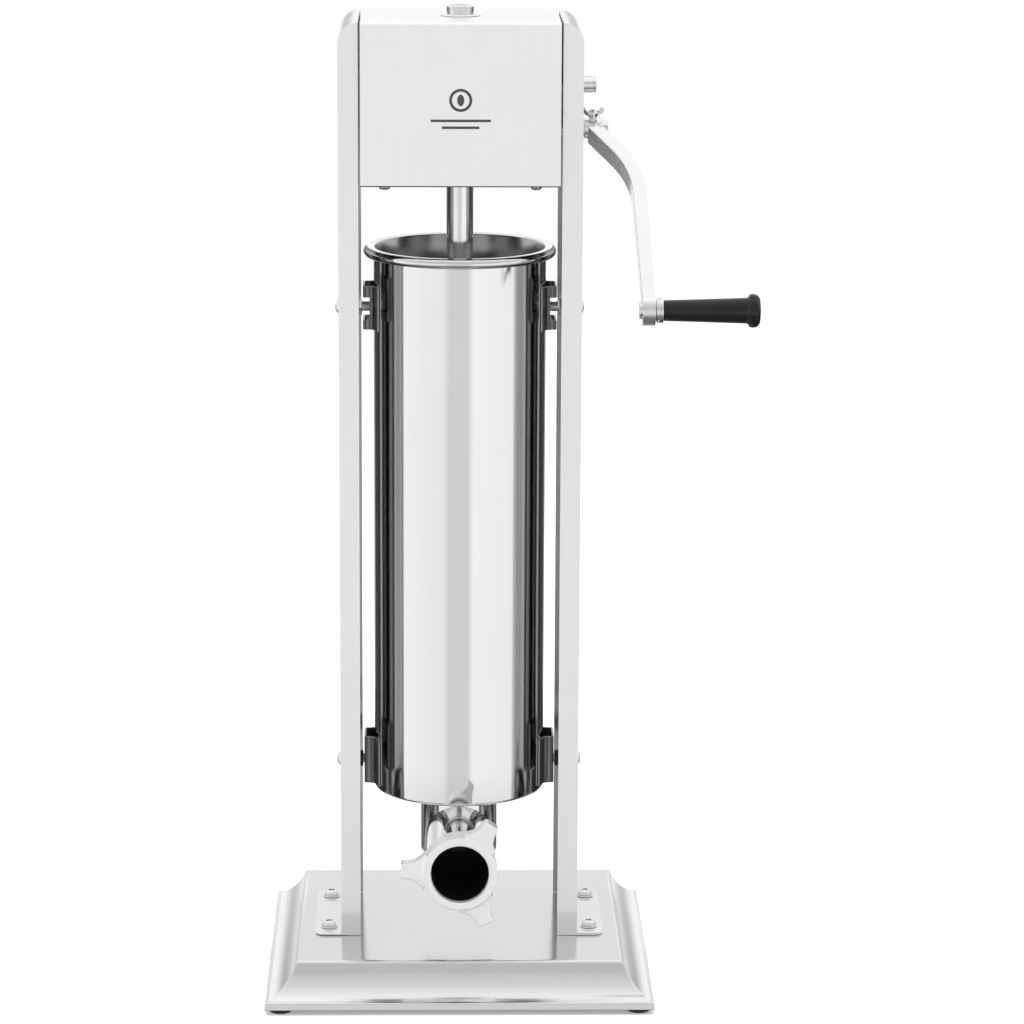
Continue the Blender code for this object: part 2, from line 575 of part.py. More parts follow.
def make_barrel(mats):
    r, low, high = BARREL_RADIUS, BARREL_LOW, BARREL_HIGH
    inner = r - BARREL_SHEET
    bead_z = high - BEAD_RADIUS
    profile = [(OUTLET_HOLE, low), *arc(r - 3, low + 3, 3, -90, 0, 3), (r, bead_z - 1.2),
               *arc(BEAD_CENTRE, bead_z, BEAD_RADIUS, 200, 450, 8), (r, high), (inner, high - 2),
               (inner, low + 4), (inner - 2.5, low + BARREL_SHEET),
               (OUTLET_HOLE, low + BARREL_SHEET)]
    place("barrel", turned(profile, 48), mats["polished"])

    def bracket_path(side):
        near = BARREL_RADIUS + GAP + 0.75
        turns = (math.radians(a) for a in (22, 17, 12.6))
        front = [(near * math.cos(a), -near * math.sin(a)) for a in turns]
        path = front + [(78.7, -14.5)]
        return [(side * x, y) for x, y in path + [(x, -y) for x, y in reversed(path)]]

    for name, side in (("left", -1), ("right", 1)):
        for level, z_low, z_high in (("upper", 540, 576), ("lower", 154, 194)):
            piece = place(f"{level}_bracket_{name}", prism(strip(bracket_path(side), 1.5), z_low, z_high),
                          mats["dark_satin"], smooth=25)
            inner_x, outer_x = sorted((side * 74.0, side * 82.0))
            if level == "upper":
                cut(piece, box((inner_x, -20, 547.5), (outer_x, 20, 566.5)))
            else:
                cut(piece, box((inner_x, -4.6, 150), (outer_x, 4.6, LOWER_STUD_Z + STUD_RADIUS + GAP)))


def make_outlet(mats):
    down = [(0, 82), (19, 82), *arc(18, 96, 14.2, -80, 0, 5), (DOWN_PIPE_RADIUS, BARREL_LOW - GAP),
            (0, BARREL_LOW - GAP)]
    elbow = place("outlet_elbow", turned(down, 32), mats["dark_satin"])
    join(elbow, rod(SPOUT_RADIUS, SPOUT_FRONT, 0, "Y", (0, 0, OUTLET_Z), 32, 0.8))
    cut(elbow, rod(OUTLET_HOLE, OUTLET_Z - 12, BARREL_LOW + 2, segments=32))
    cut(elbow, rod(SPOUT_BORE, SPOUT_FRONT - 2, 5, "Y", (0, 0, OUTLET_Z), 32))

    centre = (0, 0, OUTLET_Z)
    inner = SPOUT_RADIUS + 0.25
    lip = SPOUT_FRONT - GAP
    profile = [(23.9, NUT_FRONT), (NUT_BODY - 1.5, NUT_FRONT), (NUT_BODY, NUT_FRONT + 1.5),
               (NUT_BODY, NUT_BACK), (inner, NUT_BACK), (inner, lip), (23.9, lip)]
    nut = place("ring_nut", turned(profile, 40, "Y", centre), mats["satin"], (0, -125.0, OUTLET_Z))
    for angle in (57, 177, 297):
        outline = lug_outline(math.radians(angle))
        join(nut, prism([(z, x) for x, z in outline], NUT_FRONT + 2, NUT_BACK - 8, "Y", centre))


def lug_outline(angle):
    """One lug in (X, Z) around the nut's axis: wide at the ring, hollow sides, blunt tip."""
    half_tip, half_root = 6.6, 16.0
    inner = NUT_BODY - 2.0
    side = []
    for i in range(7):
        t = i / 6
        reach = inner + (LUG_REACH - 2.5 - inner) * t
        side.append((reach, half_tip + (half_root - half_tip) * (1 - t) ** 2.6))
    half_end = half_tip - 2.5
    tip = [(LUG_REACH - 0.7, half_tip - 0.7), (LUG_REACH, half_end), (LUG_REACH, -half_end),
           (LUG_REACH - 0.7, 0.7 - half_tip)]
    outline = side + tip + [(x, -y) for x, y in reversed(side)]
    return [(x * math.cos(angle) - y * math.sin(angle), x * math.sin(angle) + y * math.cos(angle))
            for x, y in outline]


def make_materials():
    return {
        "polished": material("polished_stainless", (0.82, 0.82, 0.83), 0.12, 1.0),
        "brushed": material("brushed_stainless", (0.80, 0.80, 0.81), 0.32, 1.0),
        "satin": material("satin_stainless", (0.83, 0.83, 0.84), 0.30, 1.0),
        "dark_satin": material("satin_steel_grey", (0.48, 0.48, 0.49), 0.35, 1.0),
        "dark": material("gear_steel", (0.20, 0.20, 0.21), 0.45, 1.0),
        "bronze": material("sintered_bronze", (0.55, 0.42, 0.24), 0.45, 1.0),
        "black": material("black_grip", (0.025, 0.025, 0.026), 0.42, 0.0),
        "rubber": material("black_rubber", (0.03, 0.03, 0.03), 0.75, 0.0),
        "seal": material("white_silicone", (0.78, 0.78, 0.76), 0.5, 0.0),
    }


def main():
    clear_scene()
    mats = make_materials()
    make_base(mats)
    make_upright("upright_left", -1, mats)
    make_upright("upright_right", 1, mats)
    make_studs(mats)
    make_head(mats)
    make_rod(mats)
    make_drive(mats)
    make_crank(mats)
    make_barrel(mats)
    make_outlet(mats)


main()
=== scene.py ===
"""Looks of an upright hand-cranked sausage stuffer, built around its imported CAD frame."""
import math

import bmesh
import bpy
from mathutils import Matrix, Vector


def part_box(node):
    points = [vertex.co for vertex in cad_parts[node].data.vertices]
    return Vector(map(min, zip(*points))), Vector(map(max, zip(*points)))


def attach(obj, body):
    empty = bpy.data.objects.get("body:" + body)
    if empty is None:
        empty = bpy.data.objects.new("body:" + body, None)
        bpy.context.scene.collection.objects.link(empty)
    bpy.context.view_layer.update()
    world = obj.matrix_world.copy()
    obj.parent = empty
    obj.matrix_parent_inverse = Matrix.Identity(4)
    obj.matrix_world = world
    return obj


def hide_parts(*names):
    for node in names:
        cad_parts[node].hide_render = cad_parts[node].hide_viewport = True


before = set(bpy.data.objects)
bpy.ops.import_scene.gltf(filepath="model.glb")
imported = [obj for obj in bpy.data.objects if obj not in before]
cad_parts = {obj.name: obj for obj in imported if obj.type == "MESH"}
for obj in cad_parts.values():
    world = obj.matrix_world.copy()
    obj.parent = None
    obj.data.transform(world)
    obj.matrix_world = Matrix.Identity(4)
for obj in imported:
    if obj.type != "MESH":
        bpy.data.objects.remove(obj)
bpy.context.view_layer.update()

MM = 0.001


def middle(node, axis):
    low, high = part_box(node)
    return (low[axis] + high[axis]) / 2


def size(node, axis):
    low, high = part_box(node)
    return high[axis] - low[axis]


def span(node, axis):
    """Lowest and highest place of a node along one axis, in mm."""
    low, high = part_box(node)
    return low[axis] / MM, high[axis] / MM


def above(node):
    """A node's middle seen from above, at height 0, in metres."""
    return (middle(node, 0), middle(node, 1), 0)


# places read from the frame, in metres
AXIS_X, AXIS_Y = middle("barrel", 0), middle("barrel", 1)
SHEET_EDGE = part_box("base_pan")[0][2]
SHAFT_Y = middle("fast_shaft", 1)
FAST_Z, SLOW_Z = middle("fast_shaft", 2), middle("slow_shaft", 2)
SPOUT_RISE = 29e-3
OUTLET_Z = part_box("outlet_elbow")[0][2] + SPOUT_RISE
GRIP_Y, GRIP_Z = middle("grip", 1), middle("grip", 2)
CRANK_TILT = math.radians(50.0)
WING_TILT = math.radians(30.0)


# ---------------------------------------------------------------- camera and studio

CAMERA_LENS = 140.7
CAMERA_PITCH = math.radians(12.31)
CAMERA_YAW = math.radians(1.19)
CAMERA_ROLL = math.radians(0.27)
CAMERA_SIDE, CAMERA_BACK, CAMERA_HEIGHT = -0.0238, 3.2556, 1.0982


def make_camera():
    data = bpy.data.cameras.new("camera")
    data.lens = CAMERA_LENS
    data.sensor_width = 36.0
    data.clip_end = 50.0
    camera = bpy.data.objects.new("camera", data)
    aim = Matrix.Rotation(-CAMERA_YAW, 4, "Z") @ Matrix.Rotation(math.pi / 2 - CAMERA_PITCH, 4, "X")
    place = Matrix.Translation((AXIS_X + CAMERA_SIDE, -CAMERA_BACK, CAMERA_HEIGHT))
    camera.matrix_world = place @ aim @ Matrix.Rotation(CAMERA_ROLL, 4, "Z")
    bpy.context.collection.objects.link(camera)
    bpy.context.scene.camera = camera


def plug(links, socket, value):
    """Give a socket a constant or another node's output."""
    if isinstance(value, bpy.types.NodeSocket):
        links.new(value, socket)
    else:
        socket.default_value = value


def math_node(nodes, links, operation, a, b=0.0):
    node = nodes.new("ShaderNodeMath")
    node.operation = operation
    plug(links, node.inputs[0], a)
    plug(links, node.inputs[1], b)
    return node.outputs[0]


def colour_mix(nodes, links, factor, a, b, blend="MIX"):
    node = nodes.new("ShaderNodeMix")
    node.data_type = "RGBA"
    node.blend_type = blend
    plug(links, node.inputs["Factor"], factor)
    plug(links, node.inputs[6], a)
    plug(links, node.inputs[7], b)
    return node.outputs[2]


def ramp_node(nodes, links, value, stops):
    node = nodes.new("ShaderNodeValToRGB")
    set_ramp(node.color_ramp, stops)
    links.new(value, node.inputs[0])
    return node.outputs[0]


def set_ramp(ramp, stops):
    ramp.interpolation = "LINEAR"
    while len(ramp.elements) > 1:
        ramp.elements.remove(ramp.elements[-1])
    for i, (position, value) in enumerate(stops):
        element = ramp.elements[0] if i == 0 else ramp.elements.new(position)
        element.position = position
        element.color = (value, value, value, 1.0)


# brightness of the ring around the object, from the rear by the left, the front and the right to the rear
RING = ((0.0, 0.95), (0.04, 0.9), (0.06, 0.2), (0.12, 0.04), (0.17, 0.05), (0.25, 0.3), (0.26, 1.0),
        (0.44, 0.9), (0.46, 0.7), (0.53, 0.7), (0.55, 1.0), (0.71, 0.95), (0.72, 0.4), (0.8, 0.05),
        (0.88, 0.05), (0.94, 0.2), (0.96, 0.9), (1.0, 0.95))
# brightness by height, as (sine of the elevation + 1) / 2: dark underneath, a little less halfway up
HEIGHT = ((0.0, 0.18), (0.16, 0.30), (0.30, 0.85), (0.36, 1.0), (0.58, 1.0), (0.63, 0.80), (0.80, 0.80),
          (0.90, 1.0), (1.0, 1.0))
HORIZON = (-0.02, 0.10)          # sines of the elevation where the ring gives way to the light overhead
OVERHEAD = (0.68, 1.02)          # brightness overhead, in front and behind
REAR_FLAG = 0.6                  # share of the light that the small flag behind takes away
FLAG_SIDES = (0.478, 0.488)      # the flag's edges, in turns from the front
FLAG_ENDS = (0.03, 0.07)         # the flag's upper and lower edges, as sines of the elevation
FLOOR_GLOW = 0.24
# name, place, watts and width
LAMPS = (("overhead", (0, -0.6, 3.0), 58, 3.2), ("fill", (-1.6, -2.4, 1.6), 9, 1.6))


def fade(nodes, links, value, start, end, low, high):
    """Low until the value reaches the start, high from the end on."""
    node = nodes.new("ShaderNodeMapRange")
    for name, number in (("From Min", start), ("From Max", end), ("To Min", low), ("To Max", high)):
        node.inputs[name].default_value = number
    links.new(value, node.inputs["Value"])
    return node.outputs[0]


def make_world():
    """White surround; what the steel mirrors is a ring of soft boxes with dark flags at the sides."""
    world = bpy.data.worlds.new("studio")
    bpy.context.scene.world = world
    bpy.context.scene.view_settings.view_transform = "Standard"
    world.use_nodes = True
    nodes, links = world.node_tree.nodes, world.node_tree.links
    nodes.clear()
    coords = nodes.new("ShaderNodeTexCoord")
    split = nodes.new("ShaderNodeSeparateXYZ")
    links.new(coords.outputs["Generated"], split.inputs[0])
    x, y, z = split.outputs
    turn = math_node(nodes, links, "ARCTAN2", x, math_node(nodes, links, "MULTIPLY", y, -1.0))
    turn = math_node(nodes, links, "ADD", math_node(nodes, links, "DIVIDE", turn, 2 * math.pi), 0.5)
    ring = ramp_node(nodes, links, turn, RING)
    horizon = fade(nodes, links, z, *HORIZON, 0.0, 1.0)
    overhead = fade(nodes, links, y, -0.50, 0.10, *OVERHEAD)
    around = colour_mix(nodes, links, horizon, ring, overhead)
    rise = math_node(nodes, links, "MULTIPLY", math_node(nodes, links, "ADD", z, 1.0), 0.5)
    shade = colour_mix(nodes, links, 1.0, around, ramp_node(nodes, links, rise, HEIGHT), "MULTIPLY")
    away = math_node(nodes, links, "ABSOLUTE", math_node(nodes, links, "SUBTRACT", turn, 0.5))
    behind = fade(nodes, links, away, *FLAG_SIDES, 0.0, 1.0)
    level = fade(nodes, links, math_node(nodes, links, "ABSOLUTE", z), *FLAG_ENDS, 1.0, 0.0)
    flag = math_node(nodes, links, "MULTIPLY", math_node(nodes, links, "MULTIPLY", behind, level), -REAR_FLAG)
    flagged = nodes.new("ShaderNodeVectorMath")
    flagged.operation = "SCALE"
    links.new(shade, flagged.inputs[0])
    links.new(math_node(nodes, links, "ADD", flag, 1.0), flagged.inputs["Scale"])
    direct = nodes.new("ShaderNodeLightPath").outputs["Is Camera Ray"]
    seen = colour_mix(nodes, links, direct, flagged.outputs[0], (1, 1, 1, 1))
    background = nodes.new("ShaderNodeBackground")
    links.new(seen, background.inputs["Color"])
    output = nodes.new("ShaderNodeOutputWorld")
    links.new(background.outputs[0], output.inputs["Surface"])


def make_floor_and_lights():
    bm = bmesh.new()
    bmesh.ops.create_grid(bm, x_segments=1, y_segments=1, size=4.0)
    mesh = bpy.data.meshes.new("floor")
    bm.to_mesh(mesh)
    bm.free()
    floor = bpy.data.objects.new("floor", mesh)
    floor.location = (0, 0, -0.0002)
    bpy.context.collection.objects.link(floor)
    mat = bpy.data.materials.new("floor_white")
    mat.use_nodes = True
    shader = mat.node_tree.nodes["Principled BSDF"]
    shader.inputs["Base Color"].default_value = (0.95, 0.95, 0.95, 1)
    shader.inputs["Roughness"].default_value = 0.9
    shader.inputs["Specular IOR Level"].default_value = 0.1
    shader.inputs["Emission Color"].default_value = (1, 1, 1, 1)
    shader.inputs["Emission Strength"].default_value = FLOOR_GLOW
    mesh.materials.append(mat)
    floor.visible_glossy = False
    for name, where, power, width in LAMPS:
        light = bpy.data.lights.new(name, "AREA")
        light.size = width
        light.energy = power
        lamp = bpy.data.objects.new(name, light)
        lamp.location = where
        lamp.rotation_euler = (Vector((0, 0, 0.2)) - Vector(where)).to_track_quat("-Z", "Y").to_euler()
        lamp.visible_glossy = False
        lamp.visible_camera = False
        bpy.context.collection.objects.link(lamp)


# ---------------------------------------------------------------- materials

def new_material(name, colour, roughness, metallic):
    mat = bpy.data.materials.new(name)
    mat.use_nodes = True
    shader = mat.node_tree.nodes["Principled BSDF"]
    shader.inputs["Base Color"].default_value = (*colour, 1)
    shader.inputs["Roughness"].default_value = roughness
    shader.inputs["Metallic"].default_value = metallic
    return mat, shader, mat.node_tree.nodes, mat.node_tree.links


def object_noise(nodes, links, scale, detail=3.0, roughness=0.55):
    """Noise stretched by a different scale along each axis of the object."""
    coords = nodes.new("ShaderNodeTexCoord")
    mapping = nodes.new("ShaderNodeMapping")
    mapping.inputs["Scale"].default_value = scale
    noise = nodes.new("ShaderNodeTexNoise")
    noise.inputs["Scale"].default_value = 1.0
    noise.inputs["Detail"].default_value = detail
    noise.inputs["Roughness"].default_value = roughness
    links.new(coords.outputs["Object"], mapping.inputs["Vector"])
    links.new(mapping.outputs[0], noise.inputs["Vector"])
    return noise.outputs["Fac"]


def spread(nodes, links, noise, low, high):
    """The middle of a noise's range, stretched from low to high."""
    return fade(nodes, links, noise, 0.3, 0.7, low, high)


def tint(nodes, links, value, dark, light, shader):
    links.new(colour_mix(nodes, links, value, (*dark, 1), (*light, 1)), shader.inputs["Base Color"])


def bump(nodes, links, value, strength, distance, shader):
    node = nodes.new("ShaderNodeBump")
    node.inputs["Strength"].default_value = strength
    node.inputs["Distance"].default_value = distance
    links.new(value, node.inputs["Height"])
    links.new(node.outputs[0], shader.inputs["Normal"])


def steel(name, colour, roughness, vary, grain, strength, metallic=1.0, distance=0.00002):
    """Stainless steel whose grain runs along the axis with the smallest scale."""
    mat, shader, nodes, links = new_material(name, colour, roughness, metallic)
    lines = object_noise(nodes, links, grain)
    cloud = object_noise(nodes, links, (9, 9, 9), 4.0)
    both = math_node(nodes, links, "MULTIPLY", math_node(nodes, links, "ADD", lines, cloud), 0.5)
    links.new(spread(nodes, links, both, roughness - vary, roughness + vary), shader.inputs["Roughness"])
    dark = tuple(c * 0.95 for c in colour)
    tint(nodes, links, spread(nodes, links, both, 0.0, 1.0), dark, colour, shader)
    bump(nodes, links, lines, strength, distance, shader)
    return mat


def plastic(name, colour, roughness, scale, strength, gloss=0.5):
    mat, shader, nodes, links = new_material(name, colour, roughness, 0.0)
    grain = object_noise(nodes, links, (scale,) * 3, 4.0)
    light = tuple(c * 1.35 + 0.002 for c in colour)
    tint(nodes, links, spread(nodes, links, grain, 0.0, 1.0), colour, light, shader)
    links.new(spread(nodes, links, grain, roughness - 0.06, roughness + 0.08), shader.inputs["Roughness"])
    shader.inputs["Specular IOR Level"].default_value = gloss
    bump(nodes, links, grain, strength, 0.0001, shader)
    return mat


def make_materials():
    pale, grey, deep = (0.90, 0.90, 0.90), (0.40, 0.40, 0.405), (0.30, 0.30, 0.31)
    return {
        "polished": steel("polished_steel", pale, 0.09, 0.025, (900, 900, 14), 0.04),
        "barrel": steel("barrel_steel", pale, 0.09, 0.02, (700, 700, 6), 0.03),
        "arm": steel("arm_steel", (0.97, 0.97, 0.97), 0.17, 0.03, (160, 160, 160), 0.05),
        # darker copy of the barrel's steel for its inner wall and the piston: painted shade inside the barrel
        "inside": steel("barrel_inside_painted_shade", (0.47, 0.47, 0.47), 0.20, 0.05, (30, 30, 1400), 0.22),
        "flat_x": steel("brushed_across", (0.90, 0.90, 0.90), 0.14, 0.03, (7, 900, 900), 0.04),
        "flat_z": steel("brushed_up", (0.93, 0.93, 0.93), 0.12, 0.03, (900, 900, 9), 0.03, 0.72),
        "head": steel("brushed_head", (0.82, 0.82, 0.82), 0.34, 0.03, (900, 900, 9), 0.02, 0.40),
        # brighter, fully metallic copy of the uprights' steel for their upward-facing crowns: painted
        # highlight
        "web": steel("crown_painted_highlight", (0.96, 0.96, 0.96), 0.10, 0.03, (900, 900, 9), 0.03),
        # darker copy of the uprights' steel for their inward faces: painted shade
        "inner_web_painted_shade": steel("inner_web_painted_shade", (0.48, 0.48, 0.485), 0.12, 0.03, (900, 900, 9), 0.03),
        # dark steel for the inside of the outlet's drop and spout: painted shade in the bore
        "bore": steel("dark_bore", (0.16, 0.16, 0.16), 0.45, 0.05, (200, 200, 200), 0.10),
        "painted_shade_line": steel("hem_shadow", (0.16, 0.16, 0.16), 0.40, 0.05, (9, 900, 900), 0.10),
        "cast": steel("cast_steel", (0.93, 0.93, 0.93), 0.24, 0.05, (160, 160, 160), 0.08, 0.60),
        "grey": steel("satin_grey", grey, 0.33, 0.06, (700, 700, 20), 0.15),
        "gear": steel("gear_steel", deep, 0.38, 0.08, (300, 300, 300), 0.2),
        "dark": steel("dark_spacer", (0.06, 0.06, 0.062), 0.42, 0.06, (300, 300, 300), 0.2),
        "bronze": steel("sintered_bronze", (0.55, 0.41, 0.22), 0.42, 0.07, (900, 900, 900), 0.3),
        "grip": plastic("black_grip_plastic", (0.006, 0.006, 0.007), 0.17, 2600, 0.05, 0.40),
        "rubber": plastic("black_rubber", (0.016, 0.016, 0.016), 0.72, 1800, 0.4),
        "seal": plastic("white_silicone", (0.76, 0.76, 0.74), 0.45, 900, 0.1),
        "mark": plastic("badge_ink", (0.045, 0.045, 0.05), 0.5, 900, 0.1),
    }


# ---------------------------------------------------------------- mesh helpers

TURNS = {
    "Z": Matrix.Identity(4),
    "X": Matrix(((0, 0, 1, 0), (1, 0, 0, 0), (0, 1, 0, 0), (0, 0, 0, 1))),
    "Y": Matrix(((0, 1, 0, 0), (0, 0, 1, 0), (1, 0, 0, 0), (0, 0, 0, 1))),
}


def finish_piece(name, bm, mat, body, nodes=(), smooth=40.0):
    bmesh.ops.remove_doubles(bm, verts=bm.verts, dist=2e-6)
    bmesh.ops.recalc_face_normals(bm, faces=bm.faces)
    mesh = bpy.data.meshes.new(name)
    bm.to_mesh(mesh)
    bm.free()
    mesh.shade_smooth()
    mesh.set_sharp_from_angle(angle=math.radians(smooth))
    mesh.materials.append(mat)
    piece = bpy.data.objects.new(name, mesh)
    bpy.context.collection.objects.link(piece)
    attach(piece, body)
    if nodes:
        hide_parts(*nodes)
    return piece


def turned(profile, segments=96, along="Z", centre=(0, 0, 0)):
    """Spin a closed outline of (radius, height) in mm; the centre is in metres."""
    bm = bmesh.new()
    rings = []
    for radius, height in profile:
        if radius < 1e-6:
            rings.append([bm.verts.new((0, 0, height * MM))])
            continue
        angles = (2 * math.pi * i / segments for i in range(segments))
        rings.append([bm.verts.new((radius * MM * math.cos(a), radius * MM * math.sin(a), height * MM))
                      for a in angles])
    for low, high in zip(rings, rings[1:] + rings[:1]):
        if len(low) == 1 and len(high) == 1:
            continue
        for i in range(segments):
            j = (i + 1) % segments
            corners = [low[i % len(low)], low[j % len(low)], high[j % len(high)], high[i % len(high)]]
            bm.faces.new(list(dict.fromkeys(corners)))
    bmesh.ops.transform(bm, matrix=Matrix.Translation(centre) @ TURNS[along], verts=bm.verts)
    return bm


def arc(cx, cy, radius, start, end, steps):
    angles = (math.radians(start + (end - start) * i / steps) for i in range(steps + 1))
    return [(cx + radius * math.cos(a), cy + radius * math.sin(a)) for a in angles]


def curve(start, control, end, steps):
    """Points of a quadratic curve, both ends included."""
    a, b, c = Vector(start), Vector(control), Vector(end)
    shares = (i / steps for i in range(steps + 1))
    return [tuple(a * (1 - t) ** 2 + b * 2 * t * (1 - t) + c * t ** 2) for t in shares]


def rounded(profile, radius=0.5, steps=3):
    """Closed (radius, height) outline with its corners rounded, apart from those on the axis."""
    points = [Vector(p) for p in profile]
    out = []
    for i, point in enumerate(points):
        before, after = points[i - 1], points[(i + 1) % len(points)]
        a, b = before - point, after - point
        if point.x < 1e-6 or a.length < 1e-6 or b.length < 1e-6:
            out.append(tuple(point))
            continue
        reach = min(radius, a.length * 0.45, b.length * 0.45)
        out += curve(point + a.normalized() * reach, point, point + b.normalized() * reach, steps)
    return out


def baked(piece):
    """Replace the piece's mesh with what its modifiers make of it."""
    graph = bpy.context.evaluated_depsgraph_get()
    mesh = bpy.data.meshes.new_from_object(piece.evaluated_get(graph))
    piece.modifiers.clear()
    piece.data = mesh
    return piece


def bevelled(piece, width, segments, angle):
    edge = piece.modifiers.new("edges", "BEVEL")
    edge.width = width * MM
    edge.segments = segments
    edge.limit_method = "ANGLE"
    edge.angle_limit = math.radians(angle)
    return edge


def refined(node, mat, body, width=0.4, segments=2, split=None):
    """A copy of a CAD node's shape with rounded edges, with a loop of edges at the height split."""
    bm = bmesh.new()
    bm.from_mesh(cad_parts[node].data)
    bmesh.ops.remove_doubles(bm, verts=bm.verts, dist=1e-6)
    bmesh.ops.dissolve_limit(bm, angle_limit=math.radians(0.4), verts=bm.verts, edges=bm.edges)
    if split is not None:
        everything = [*bm.verts, *bm.edges, *bm.faces]
        bmesh.ops.bisect_plane(bm, geom=everything, plane_co=(0, 0, split), plane_no=(0, 0, 1))
    piece = finish_piece(f"fine_{node}", bm, mat, body, (node,), smooth=180.0)
    bevelled(piece, width, segments, 32).use_clamp_overlap = True
    even = piece.modifiers.new("even_shading", "WEIGHTED_NORMAL")
    even.weight = 100
    return baked(piece)


def voxel_piece(piece, voxel, smooth_steps):
    """Cast look: one skin with softened edges."""
    remesh = piece.modifiers.new("skin", "REMESH")
    remesh.mode = "VOXEL"
    remesh.voxel_size = voxel * MM
    remesh.use_smooth_shade = True
    soft = piece.modifiers.new("soft", "SMOOTH")
    soft.factor = 0.5
    soft.iterations = smooth_steps
    baked(piece)
    piece.data.shade_smooth()


def at(x, y, z):
    """A point given in mm from the barrel's axis and the base's sheet edge."""
    return Vector((AXIS_X + x * MM, AXIS_Y + y * MM, SHEET_EDGE + z * MM))


def prism(outline, low, high, along="Z", centre=(0, 0, 0)):
    bm = bmesh.new()
    floor = [bm.verts.new((x * MM, y * MM, low * MM)) for x, y in outline]
    roof = [bm.verts.new((x * MM, y * MM, high * MM)) for x, y in outline]
    bm.faces.new(floor)
    bm.faces.new(roof)
    for i in range(len(outline)):
        j = (i + 1) % len(outline)
        bm.faces.new((floor[i], floor[j], roof[j], roof[i]))
    bmesh.ops.transform(bm, matrix=Matrix.Translation(centre) @ TURNS[along], verts=bm.verts)
    bmesh.ops.recalc_face_normals(bm, faces=bm.faces)
    return bm


def filleted(path, radius, steps=5):
    """Open path with its inner corners replaced by curves."""
    points = [Vector(p) for p in path]
    out = [tuple(points[0])]
    for before, point, after in zip(points, points[1:], points[2:]):
        a, b = before - point, after - point
        reach = min(radius, a.length * 0.45, b.length * 0.45)
        out += curve(point + a.normalized() * reach, point, point + b.normalized() * reach, steps)
    return out + [tuple(points[-1])]


def strip(path, thickness):
    points = [Vector(p) for p in path]
    left, right = [], []
    for i, point in enumerate(points):
        before = (point - points[i - 1]).normalized() if i else None
        after = (points[i + 1] - point).normalized() if i < len(points) - 1 else None
        before, after = before or after, after or before
        normal = Vector((-(before + after).y, (before + after).x)).normalized()
        reach = thickness / 2 / max(0.4, normal.dot(Vector((-before.y, before.x))))
        left.append(tuple(point + normal * reach))
        right.append(tuple(point - normal * reach))
    return left + right[::-1]


def combined(base, *steps):
    """Join or cut helper shapes: each step is an operation and a bmesh."""
    piece = loose_object("work", base)
    helpers = []
    for i, (operation, bm) in enumerate(steps):
        helper = loose_object(f"helper_{i}", bm)
        helpers.append(helper)
        boolean = piece.modifiers.new(f"step_{i}", "BOOLEAN")
        boolean.operation = operation
        boolean.solver = "EXACT"
        boolean.object = helper
    baked(piece)
    out = bmesh.new()
    out.from_mesh(piece.data)
    for item in (piece, *helpers):
        bpy.data.objects.remove(item, do_unlink=True)
    return out


def loose_object(name, bm):
    bmesh.ops.remove_doubles(bm, verts=bm.verts, dist=1e-7)
    bmesh.ops.recalc_face_normals(bm, faces=bm.faces)
    mesh = bpy.data.meshes.new(name)
    bm.to_mesh(mesh)
    bm.free()
    item = bpy.data.objects.new(name, mesh)
    bpy.context.collection.objects.link(item)
    return item


def merged(parts):
    """Several separate shapes as one bmesh."""
    out = bmesh.new()
    for bm in parts:
        mesh = bpy.data.meshes.new("spare")
        bm.to_mesh(mesh)
        bm.free()
        out.from_mesh(mesh)
        bpy.data.meshes.remove(mesh)
    return out


def cylinder(radius, low, high, along="Z", centre=(0, 0, 0), segments=64):
    return turned([(0, low), (radius, low), (radius, high), (0, high)], segments, along, centre)


SIDES = (("left", -1), ("right", 1))
CORNERS = (("front_left", -1, -1), ("front_right", 1, -1), ("rear_left", -1, 1), ("rear_right", 1, 1))

# ---------------------------------------------------------------- base and frame

LIP_HEIGHT, STEP_IN, SHEET = 6.5, 3.0, 1.5
SLOPE_IN, SLOPE_UP, SLOPE_SAG = 21.5, 24.7, 3.0
ROLL_IN, PAN_TOP = 4.5, 34.0
RETURN_FLANGE = 25.0


def pan_profile(grow=0.0):
    """(inset, height) of the pan's skin from lip to flat top; grow moves it inwards for the underside."""
    foot, slope = Vector((STEP_IN + grow, LIP_HEIGHT - grow)), Vector((SLOPE_IN, SLOPE_UP))
    head = foot + slope
    hollow = foot + slope / 2 + Vector((SLOPE_UP, -SLOPE_IN)).normalized() * SLOPE_SAG * 2
    rise = (head - hollow) / (head - hollow).y
    corner = head + rise * (PAN_TOP - grow - head.y)
    lip = [(grow, grow), (grow, LIP_HEIGHT - 1.4 - grow), (0.4 + grow, LIP_HEIGHT - 0.4 - grow),
           (1.4 + grow, LIP_HEIGHT - grow)]
    roll = curve(head, corner, (head.x + ROLL_IN, PAN_TOP - grow), 10)
    return lip + curve(foot, hollow, head, 20) + roll[1:]


